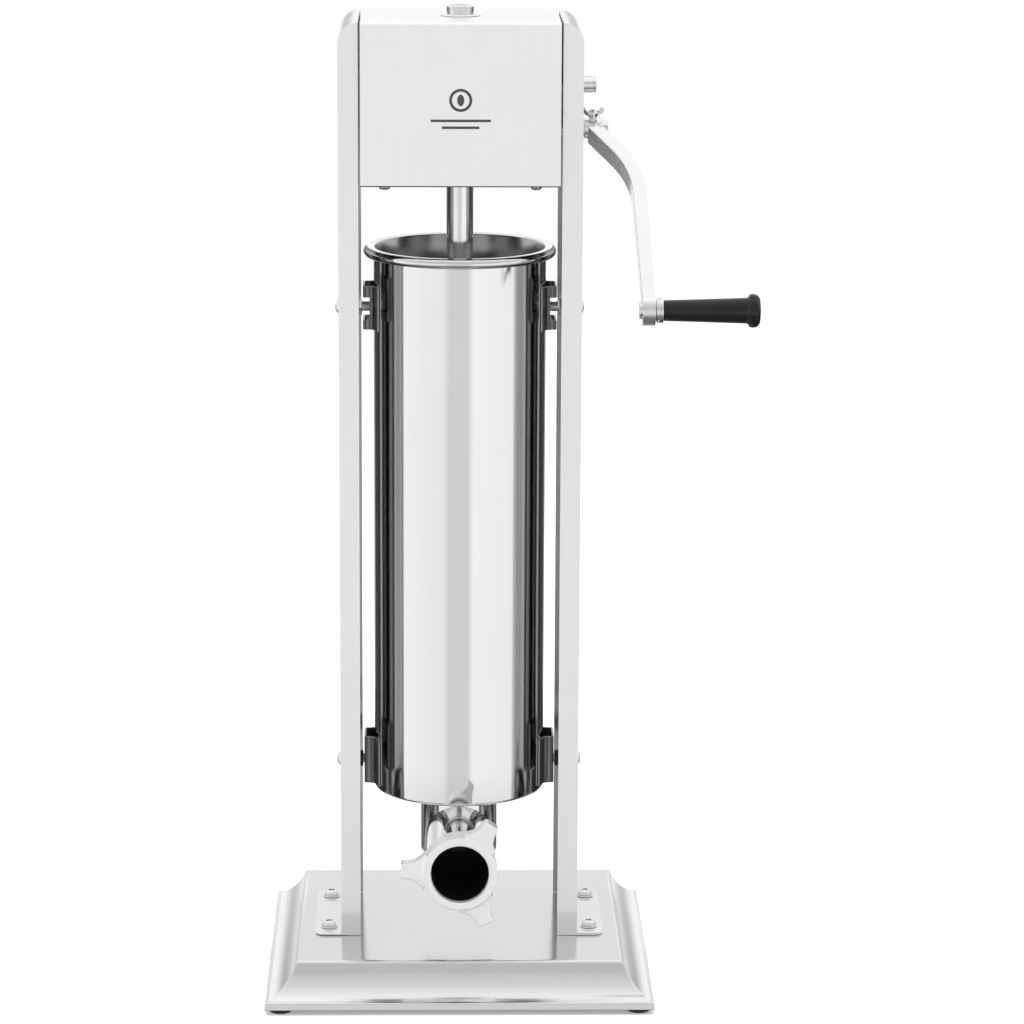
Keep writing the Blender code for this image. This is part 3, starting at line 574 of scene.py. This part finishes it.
def make_base(mats):
    half_x, half_y = size("base_pan", 0) / 2 / MM, size("base_pan", 1) / 2 / MM
    bm = bmesh.new()

    def ring(inset, z):
        corners = ((-1, -1), (1, -1), (1, 1), (-1, 1))
        return [bm.verts.new(at(a * (half_x - inset), b * (half_y - inset), z)) for a, b in corners]

    skins = [[ring(*p) for p in [(RETURN_FLANGE, 0.0)] + pan_profile()],
             [ring(*p) for p in [(RETURN_FLANGE, SHEET)] + pan_profile(SHEET)]]
    for run in skins:
        for low, high in zip(run, run[1:]):
            for i in range(4):
                bm.faces.new((low[i], low[(i + 1) % 4], high[(i + 1) % 4], high[i]))
        bm.faces.new(run[-1])
    for i in range(4):
        bm.faces.new((skins[0][0][i], skins[0][0][(i + 1) % 4], skins[1][0][(i + 1) % 4], skins[1][0][i]))
    foot_x, foot_y = middle("foot_front_right", 0), middle("foot_front_right", 1)
    places = [(AXIS_X + s * (foot_x - AXIS_X), -t * foot_y, SHEET_EDGE) for _, s, t in CORNERS]
    holes = merged([cylinder(3.2, -1, 3, centre=place, segments=24) for place in places])
    bm = combined(bm, ("DIFFERENCE", holes))
    pan = finish_piece("pan", bm, mats["flat_x"], "frame", ("base_pan",), 28)
    bevelled(pan, 0.5, 2, 40)
    baked(pan)

    for corner, _, _ in CORNERS:
        node = f"foot_{corner}"
        profile = [(0, 0.6), (4.0, 0.6), (4.6, 0), (8.4, 0), (9.2, 0.6), (10.0, 3.7), (2.8, 3.7), (2.8, 8),
                   (0, 9)]
        foot = turned(rounded(profile, 0.5), 48, "Z", above(node))
        finish_piece(f"rubber_{node}", foot, mats["rubber"], "frame", (node,))
    for corner, _, _ in CORNERS:
        node = f"tab_bolt_{corner}"
        centre = above(node)
        seat = span(node, 2)[1] - 5.5
        dome = [(0, seat - 16), (3.9, seat - 16), (3.9, seat + 1), (6.1, seat + 1.2), (6.0, seat + 2.9),
                (4.6, seat + 4.6), (2.5, seat + 5.3), (0, seat + 5.5)]
        bolt = turned(rounded(dome, 0.4), 48, "Z", centre)
        socket = prism(arc(0, 0, 2.6, 0, 300, 5), seat + 3.0, seat + 7, "Z", centre)
        bolt = combined(bolt, ("DIFFERENCE", socket))
        finish_piece(f"dome_{node}", bolt, mats["polished"], "frame", (node,))
        disc = [(4.1, seat + 0.02), (7.2, seat + 0.02), (7.2, seat + 1.1), (4.1, seat + 1.1)]
        washer = turned(rounded(disc, 0.25), 48, "Z", centre)
        finish_piece(f"washer_{corner}", washer, mats["polished"], "frame")
        refined(f"tab_nut_{corner}", mats["polished"], "frame", 0.5)


CROWN_LOW = 0.77     # height in metres above which an upright's upward-facing rounded top takes a brighter, fully metallic copy of its steel, a painted highlight


def make_uprights(mats):
    for name, side in SIDES:
        post = refined(f"upright_{name}", mats["flat_z"], "frame", 0.7, 3)
        post.data.materials.append(mats["web"])
        post.data.materials.append(mats["inner_web_painted_shade"])
        # upward-facing crown faces get the brighter steel as a painted highlight
        for face in post.data.polygons:
            if face.normal.z > 0.15 and face.center.z > CROWN_LOW and abs(face.normal.y) < 0.5:
                face.material_index = 1
            # faces turned towards the barrel get a darker copy of the upright's steel: painted shade
            elif face.normal.x * side < -0.9:
                face.material_index = 2
        for level in ("upper", "lower"):
            node = f"{level}_stud_{name}"
            low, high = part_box(node)
            outer = max(abs(low[0] - AXIS_X), abs(high[0] - AXIS_X)) / MM
            inner = min(abs(low[0] - AXIS_X), abs(high[0] - AXIS_X)) / MM
            web = outer - 3.9
            dome = [(6.2, web), (6.1, web + 0.8), (5.2, web + 2.4), (3.4, web + 3.5), (0, web + 3.9)]
            if level == "upper":
                end = [(0, inner), (6.5, inner), (6.5, inner + 3), (4, inner + 3.2)]
            else:
                end = [(0, inner), (3.4, inner), (4, inner + 0.6)]
            profile = [(r, side * x) for r, x in end + [(4, web)] + dome]
            centre = (AXIS_X, middle(node, 1), middle(node, 2))
            finish_piece(f"fine_{node}", turned(rounded(profile, 0.35), 48, "X", centre), mats["cast"],
                         "frame", (node,))
        refined(f"upper_stud_nut_{name}", mats["polished"], "frame", 0.5)
        node = f"lower_spacer_{name}"
        low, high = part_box(node)
        inner, outer = (low[0] - AXIS_X) / MM, (high[0] - AXIS_X) / MM
        centre = (AXIS_X, middle(node, 1), middle(node, 2))
        sleeve = [(4.3, inner), (6.8, inner), (6.8, outer), (4.3, outer)]
        finish_piece(f"fine_{node}", turned(rounded(sleeve, 0.4), 48, "X", centre), mats["dark"], "frame",
                     (node,))


# ---------------------------------------------------------------- gear head

# height of the dark band along the cover's lower edge, painted there as a shadow line
SHADE_LINE_HEIGHT = 1.0
GUIDE_BORE, GUIDE_NECK = 11.25, 14.2
BADGE_HEIGHT = 734.0


def make_head(mats):
    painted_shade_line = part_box("head_cover")[0].z + SHADE_LINE_HEIGHT * MM
    cover = refined("head_cover", mats["head"], "frame", 0.3, 2, split=painted_shade_line)
    # the cover's lowest band takes the dark hem_shadow material: a painted shadow line along its lower edge
    cover.data.materials.append(mats["painted_shade_line"])
    for face in cover.data.polygons:
        if face.center.z < painted_shade_line:
            face.material_index = 1
    refined("head_floor", mats["flat_x"], "frame", 0.3, 2)
    for corner, _, _ in CORNERS:
        node = f"cover_screw_{corner}"
        low, centre = span(node, 2)[0], above(node)
        profile = [(0, low), (2.6, low + 0.3), (4.4, low + 1.5), (5.0, low + 3.0), (2.1, low + 3.0),
                   (2.1, low + 12), (0, low + 12)]
        slot = prism([(-0.5, -3.0), (0.5, -3.0), (0.5, 3.0), (-0.5, 3.0)], low - 1, low + 1.4, "Z", centre)
        head = combined(turned(rounded(profile, 0.3), 40, "Z", centre), ("DIFFERENCE", slot))
        finish_piece(f"dome_{node}", head, mats["polished"], "frame", (node,))
    for node, flange_low in (("rod_guide_upper", False), ("rod_guide_lower", True)):
        low, high = span(node, 2)
        inner, neck, flange = GUIDE_BORE, GUIDE_NECK, size(node, 0) / 2 / MM
        if flange_low:
            profile = [(inner, low), (flange, low), (flange, low + 1.9), (neck, low + 2), (neck, high),
                       (inner, high)]
        else:
            profile = [(inner, low), (neck, low), (neck, high - 1), (flange, high - 1), (flange - 0.4, high),
                       (inner, high)]
        mat, slot = (mats["bronze"], "sintered_bronze") if flange_low else (mats["head"], "satin_stainless")
        finish_piece(f"fine_{node}", turned(rounded(profile, 0.4), 80, "Z", (AXIS_X, AXIS_Y, 0)), mat,
                     "frame", (node,))

    front = span("head_cover", 1)[0]
    back, face = front - 0.13, front - 0.01
    ring = turned([(7.0, 0), (9.2, 0), (9.2, 0.12), (7.0, 0.12)], 64, "Y", at(0, back, BADGE_HEIGHT))
    edge = (AXIS_X, 0, SHEET_EDGE)
    bars = [prism([(z - 1, -w), (z + 1, -w), (z + 1, w), (z - 1, w)], back, face, "Y", edge)
            for z, w in ((BADGE_HEIGHT - 16.4, 24), (BADGE_HEIGHT - 21.9, 15))]
    oval = [(-4.6 * math.cos(a), 2.8 * math.sin(a)) for a in (2 * math.pi * i / 32 for i in range(32))]
    drop = prism(oval, back, face, "Y", (AXIS_X, 0, at(0, 0, BADGE_HEIGHT).z))
    finish_piece("maker_badge", merged([ring, drop, *bars]), mats["mark"], "frame")


# ---------------------------------------------------------------- rod, piston and shafts

RACK_PITCH = math.pi * 2.0
RACK_TIP, RACK_ROOT, RACK_LINE = 9.6, 5.5, 7.8     # depths of the teeth from the rod's axis
TOOTH_ANGLE = math.radians(25)
ROD_TRAVEL = 450.0


def make_rod(mats):
    radius = size("toothed_rod", 0) / 2 / MM
    low, high = span("toothed_rod", 2)
    shoulder = span("piston_plate", 2)[1] + 0.3
    centre = (AXIS_X, AXIS_Y, 0)
    outline = [(0, low), (5.5, low), (5.5, shoulder), (radius, shoulder), (radius, high), (0, high)]
    bar = turned(rounded(outline, 0.9), 96, "Z", centre)
    gear_z = FAST_Z / MM
    count = math.ceil((ROD_TRAVEL + 10) / RACK_PITCH)
    flat = prism([(-12, RACK_TIP), (12, RACK_TIP), (12, 12), (-12, 12)], gear_z - (count + 0.5) * RACK_PITCH,
                 gear_z + 1.5 * RACK_PITCH, "Z", centre)
    half = RACK_PITCH / 4 + 0.18
    slope = math.tan(TOOTH_ANGLE)
    root, edge = half - (RACK_LINE - RACK_ROOT) * slope, half + (12 - RACK_LINE) * slope
    gaps = []
    for z in (gear_z + k * RACK_PITCH for k in range(-count, 2)):
        gap = [(RACK_ROOT, z - root), (12, z - edge), (12, z + edge), (RACK_ROOT, z + root)]
        gaps.append(prism(gap, -12, 12, "X", centre))
    bar = combined(bar, ("DIFFERENCE", flat), ("DIFFERENCE", merged(gaps)))
    finish_piece("steel_rod", bar, mats["polished"], "rod", ("toothed_rod",), 30)

    (low, high), r = span("piston_plate", 2), size("piston_plate", 0) / 2 / MM
    disc = [(5.8, low), (r - 1, low), (r, low + 1), (r, low + 5), (r - 4, low + 5), (r - 4, high - 5),
            (r, high - 5), (r, high - 1), (r - 1, high), (30, high), (5.8, high)]
    valve_at = (middle("air_valve", 0), AXIS_Y, 0)
    valve_hole = cylinder(4.2, low - 2, high + 2, "Z", valve_at, 32)
    disc = combined(turned(rounded(disc, 0.5), 96, "Z", centre), ("DIFFERENCE", valve_hole))
    # the piston takes the barrel's darker inner steel, painted shade
    finish_piece("piston_disc", disc, mats["inside"], "rod", ("piston_plate",))
    (low, high), r = span("piston_seal", 2), size("piston_seal", 0) / 2 / MM
    lips = [(63.3, low), (r - 1, low), (r, low + 1.7), (r, high - 1.7), (r - 1, high), (63.3, high)]
    seal = turned(rounded(lips, 0.6), 96, "Z", centre)
    finish_piece("lip_seal", seal, mats["seal"], "rod", ("piston_seal",))
    refined("piston_nut", mats["polished"], "rod", 0.5)
    low, high = span("air_valve", 2)
    pin = [(0, low), (6.5, low), (6.5, low + 2.7), (3.8, low + 2.7), (3.8, high - 2), (6, high - 2),
           (6, high), (0, high)]
    finish_piece("valve_pin", turned(rounded(pin, 0.4), 48, "Z", valve_at), mats["polished"], "air_valve",
                 ("air_valve",))


def make_shafts(mats):
    for node, body, z in (("fast_shaft", "fast_shaft", FAST_Z), ("slow_shaft", "crank", SLOW_Z)):
        low, high = span(node, 0)
        r = size(node, 1) / 2 / MM
        centre = (0, SHAFT_Y, z)
        groove = high - 1.8
        outline = [(0, low), (r, low), (r, groove - 1.1), (r - 0.6, groove - 1.1), (r - 0.6, groove),
                   (r, groove), (r, high), (0, high)]
        bar = turned(rounded(outline, 0.45), 64, "X", centre)
        corners = ((-4.5, 5.6), (4.5, 5.6), (4.5, 8), (-4.5, 8))
        tilted = [tuple(Matrix.Rotation(WING_TILT, 2) @ Vector(corner)) for corner in corners]
        flat = prism(tilted, high - 12, high + 1, "X", centre)
        finish_piece(f"fine_{node}", combined(bar, ("DIFFERENCE", flat)), mats["polished"], body,
                     (node,))
    for node in ("rack_pinion", "large_gear", "small_pinion"):
        repaint(node, mats["gear"])
    for side, _ in SIDES:
        repaint(f"bearing_plate_{side}", mats["flat_z"])
        for speed in ("fast", "slow"):
            repaint(f"{speed}_shaft_bush_{side}", mats["bronze"])


def repaint(node, mat):
    """Give a CAD node that keeps its shape a better material."""
    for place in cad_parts[node].material_slots:
        place.material = mat


# ---------------------------------------------------------------- crank

CRANK_DROP, ARM_X = 197.0, 148.5
ARM_WIDTH, ARM_THICK = 10.5, 19.0
ARM_BEND_X, ARM_BEND_DROP, ARM_BEND_REACH = 143.8, 52.0, 28.0
HUB_LEFT, HUB_RIGHT, HUB_RADIUS, EYE_RADIUS, EYE_HALF = 101.8, 117.0, 8.4, 12.0, 5.2
WING_X = 108.6
SHAFT_HOLE, SCREW_HOLE, EYE_HOLE, GRIP_BORE = 6.95, 3.3, 4.3, 4.3     # radii
GRIP_WAIST, GRIP_SWELL, GRIP_HEAD = 8.35, 1.9, 10.4


def make_crank(mats):
    pivot = Vector((AXIS_X, SHAFT_Y, SLOW_Z))

    def swung(bm, angle):
        swing = Matrix.Translation(pivot) @ Matrix.Rotation(angle, 4, "X") @ Matrix.Translation(-pivot)
        bmesh.ops.transform(bm, matrix=swing, verts=bm.verts)
        return bm

    start, end = Vector((HUB_LEFT + 7.3, -4.6)), Vector((ARM_X, 4 - CRANK_DROP))
    bend = Vector((ARM_BEND_X, -ARM_BEND_DROP))
    before, after = (start - bend).normalized(), (end - bend).normalized()
    sweep = curve(bend + before * ARM_BEND_REACH, bend, bend + after * ARM_BEND_REACH, 20)
    path = [tuple(start), *sweep, tuple(end)]
    arm = prism([(z, x) for x, z in strip(path, ARM_WIDTH)], -ARM_THICK / 2, ARM_THICK / 2, "Y", pivot)
    eye = pivot + Vector((0, 0, -CRANK_DROP * MM))
    stem_at = pivot + Vector((WING_X * MM, 0, 0))
    screw_hole = swung(cylinder(SCREW_HOLE, 2, HUB_RADIUS + 2, "Z", stem_at, 32), CRANK_TILT + WING_TILT)
    arm = combined(arm, ("UNION", cylinder(HUB_RADIUS, HUB_LEFT, HUB_RIGHT, "X", pivot)),
                   ("UNION", cylinder(EYE_RADIUS, ARM_X - EYE_HALF, ARM_X + EYE_HALF, "X", eye)),
                   ("DIFFERENCE", cylinder(SHAFT_HOLE, HUB_LEFT - 1, HUB_RIGHT + 9, "X", pivot, 56)),
                   ("DIFFERENCE", cylinder(EYE_HOLE, ARM_X - 9, ARM_X + 9, "X", eye, 48)),
                   ("DIFFERENCE", screw_hole))
    arm = finish_piece("bent_arm", swung(arm, -CRANK_TILT), mats["arm"], "crank",
                       ("crank_arm",))
    voxel_piece(arm, 0.5, 3)

    low = HUB_RADIUS
    stem = [(0, low - 1.5), (2.5, low - 1.5)]
    for i in range(6):
        stem += [(3.0, low - 1.2 + i * 0.8), (2.5, low - 0.8 + i * 0.8)]
    stem += [(3.0, low + 3.6), (3.9, low + 4.2), (3.7, low + 8), (2.8, low + 8.5), (0, low + 8.6)]
    leaves = []
    for side in (-1, 1):
        leaf = [(2.0, 4.5), (5.0, 4.8), (7.6, 7.4), (9.3, 11.0), (8.6, 12.5), (6.6, 11.9), (4.4, 8.8),
                (2.0, 7.8)]
        outline = [(low + rise, side * reach) for reach, rise in leaf]
        leaves.append(("UNION", prism(outline, -1.2, 1.2, "Y", stem_at)))
    wing = combined(turned(stem, 48, "Z", stem_at), *leaves)
    wing = finish_piece("wing_bolt", swung(wing, WING_TILT), mats["polished"], "wing_screw",
                        ("wing_screw",))
    voxel_piece(wing, 0.22, 2)

    centre = (0, GRIP_Y, GRIP_Z)
    start, end = span("grip", 0)
    low, high = span("grip_bolt", 0)
    bolt = [(0, low), (6.3, low), (6.9, low + 0.8), (7.0, low + 4.7), (4, low + 4.7), (4, high), (0, high)]
    finish_piece("eye_bolt", turned(rounded(bolt, 0.5), 64, "X", centre), mats["polished"], "crank",
                 ("grip_bolt",))
    low, high = span("grip_ferrule", 0)
    ferrule = [(GRIP_BORE, low), (8.5, low), (10, low + 1.5), (10, high), (GRIP_BORE, high)]
    finish_piece("ferrule", turned(rounded(ferrule, 0.6), 64, "X", centre), mats["polished"], "grip",
                 ("grip_ferrule",))
    neck = end - GRIP_HEAD
    grip = [(GRIP_BORE, start), (7.6, start), (8.1, start + 0.4)]
    for i in range(25):
        share = i / 24
        swell = GRIP_WAIST + GRIP_SWELL * share ** 1.6 + 0.25 * math.sin(math.pi * share)
        grip.append((swell, start + 1.2 + (neck - 2 - start) * share))
    grip += [(10.9, neck + 0.7), (12.4, neck + 1.3), (13.2, neck + 2.2), (13.6, neck + 4.0),
             (13.3, neck + 6.6), (12.2, neck + 8.6), (10.2, neck + 9.9), (7.0, end - 0.1), (0, end),
             (0, end - 7), (GRIP_BORE, end - 7)]
    grip = turned(grip, 120, "X", centre)
    for vert in grip.verts:
        y, z = vert.co.y - GRIP_Y, vert.co.z - GRIP_Z
        if vert.co.x > (neck + 2) * MM and math.hypot(y, z) > 11 * MM:
            dent = 0.97 + 0.03 * abs(math.cos(5 * math.atan2(z, y)))
            vert.co.y, vert.co.z = GRIP_Y + y * dent, GRIP_Z + z * dent
    finish_piece("turned_grip", grip, mats["grip"], "grip", ("grip",), 50)


# ---------------------------------------------------------------- barrel and outlet

WALL, BARREL_OUTER, BEAD, BEAD_CENTRE = 1.5, 71.0, 4.15, 75.0
DRAIN, SPOUT_OUTER, SPOUT_BORE = 29.0, 27.0, 23.6     # radii
LUG_ANGLES = (57, 177, 297)


def make_barrel(mats):
    low, high = span("barrel", 2)
    r, inner = BARREL_OUTER, BARREL_OUTER - WALL
    bead = high - BEAD
    centre = (AXIS_X, AXIS_Y, 0)
    outside = [(DRAIN, low), *arc(r - 3, low + 3, 3, -90, 0, 8), (r, low + 30), (r, bead - 30),
               (r, bead - 1.25)]
    rim = [*arc(BEAD_CENTRE, bead, BEAD, 197, 440, 32), (BEAD_CENTRE - 2.6, high), (inner + 0.7, high - 0.5)]
    inside = [(inner, high - 2), (inner, bead - 30), (inner, low + 30), (inner, low + 5),
              (inner - 1, low + 2.4), (inner - 3.4, low + WALL), (DRAIN, low + WALL)]
    shell = turned(outside + rim + inside, 192, "Z", centre)
    shell = finish_piece("barrel_shell", shell, mats["barrel"], "barrel", ("barrel",),
                         35)
    # the inner wall gets the darker steel: painted shade inside the barrel
    shell.data.materials.append(mats["inside"])
    for face in shell.data.polygons:
        away = face.center - Vector((AXIS_X, AXIS_Y, face.center.z))
        if away.length < (inner + 0.4) * MM and face.center.z > (low + 1) * MM:
            face.material_index = 1

    near = r + 0.3 + 0.75
    angles = (math.radians(a) for a in (22, 19, 16, 13.6))
    flange = [(near * math.cos(a), -near * math.sin(a)) for a in angles]
    half = flange + [(73.4, -14.6), (78.7, -14.5)]
    for name, side in SIDES:
        path = [(side * x, y) for x, y in half + [(x, -y) for x, y in reversed(half)]]
        outline = strip(filleted(path, 2.2, 4), 1.5)
        for level in ("upper", "lower"):
            node = f"{level}_bracket_{name}"
            z_low, z_high = span(node, 2)
            inner_x, outer_x = sorted((side * 74.0, side * 82.0))
            if level == "upper":
                half_y, low_z, high_z = 24, z_low + 7.5, z_low + 26.5
            else:
                half_y, low_z, high_z = 4.6, z_low - 4, z_low + 21.7
            corners = [(inner_x, -half_y), (outer_x, -half_y), (outer_x, half_y), (inner_x, half_y)]
            window = prism(corners, low_z, high_z, "Z", centre)
            bm = combined(prism(outline, z_low, z_high, "Z", centre), ("DIFFERENCE", window))
            piece = finish_piece(f"folded_{node}", bm, mats["grey"], "barrel", (node,),
                                 35)
            bevelled(piece, 0.25, 2, 50).harden_normals = True
            baked(piece)


def make_outlet(mats):
    top = span("barrel", 2)[0] - 0.3
    base, front = span("outlet_elbow", 2)[0], span("outlet_elbow", 1)[0]
    centre, spout = (AXIS_X, AXIS_Y, 0), (AXIS_X, 0, OUTLET_Z)
    bend = arc(18, base + 14.2, 14.2, -85, 0, 12)
    down = turned([(0, base), (19, base), *bend, (32.2, top), (0, top)], 128, "Z", centre)
    elbow = combined(down, ("UNION", cylinder(SPOUT_OUTER, front, 0, "Y", spout, 128)),
                     ("DIFFERENCE", cylinder(DRAIN, OUTLET_Z / MM - 12, top + 2, "Z", centre, 128)),
                     ("DIFFERENCE", cylinder(SPOUT_BORE, front - 2, 5, "Y", spout, 128)))
    elbow = finish_piece("cast_elbow", elbow, mats["polished"], "barrel",
                         ("outlet_elbow",), 30)
    # faces inside the spout and the drop get the dark steel: painted shade in the bore
    elbow.data.materials.append(mats["bore"])
    for face in elbow.data.polygons:
        x, y, z = face.center - Vector(spout)
        inside_spout = math.hypot(x, z) < (SPOUT_BORE + 0.2) * MM and y < -27 * MM
        inside_drop = math.hypot(x, y) < (DRAIN + 0.2) * MM and face.center.z > (base + 3) * MM
        if inside_spout or inside_drop:
            face.material_index = 1
    weld = [(32.0 + 1.6 * math.cos(a), top - 1.2 + 1.4 * math.sin(a)) for a in
            (2 * math.pi * i / 12 for i in range(12))]
    finish_piece("weld_bead", turned(weld, 128, "Z", centre), mats["cast"], "barrel")

    front, back = span("ring_nut", 1)
    body, hole, inner, lip = 30.6, 23.9, 27.25, front + 3.7
    section = [(hole, front), (body, front), (body, back), (inner, back), (inner, lip), (hole, lip)]
    nut = turned(section, 160, "Y", spout)
    outlines = (lug_outline(math.radians(a), body) for a in LUG_ANGLES)
    lugs = [("UNION", prism([(z, x) for x, z in outline], front + 2, back - 8, "Y", spout))
            for outline in outlines]
    nut = finish_piece("cast_ring_nut", combined(nut, *lugs), mats["cast"], "ring_nut",
                       ("ring_nut",))
    voxel_piece(nut, 0.55, 4)


def lug_outline(angle, body):
    """One lug around the nut's axis, in mm: hollow sides and a blunt tip."""
    half_tip, half_root, reach_end, round_off = 6.6, 16.0, 48.5, 2.5
    inner, shoulder = body - 2.0, reach_end - round_off
    shares = [i / 14 for i in range(15)]
    side = [(inner + (shoulder - inner) * s, half_tip + (half_root - half_tip) * (1 - s) ** 2.6)
            for s in shares]
    tip = arc(shoulder, half_tip - round_off, round_off, 75, 0, 5)
    outline = side + tip + [(x, -y) for x, y in reversed(side + tip)]
    turn = Matrix.Rotation(angle, 2)
    return [tuple(turn @ Vector(p)) for p in outline]


make_camera()
make_world()
make_floor_and_lights()
materials = make_materials()
make_base(materials)
make_uprights(materials)
make_head(materials)
make_rod(materials)
make_shafts(materials)
make_crank(materials)
make_barrel(materials)
make_outlet(materials)
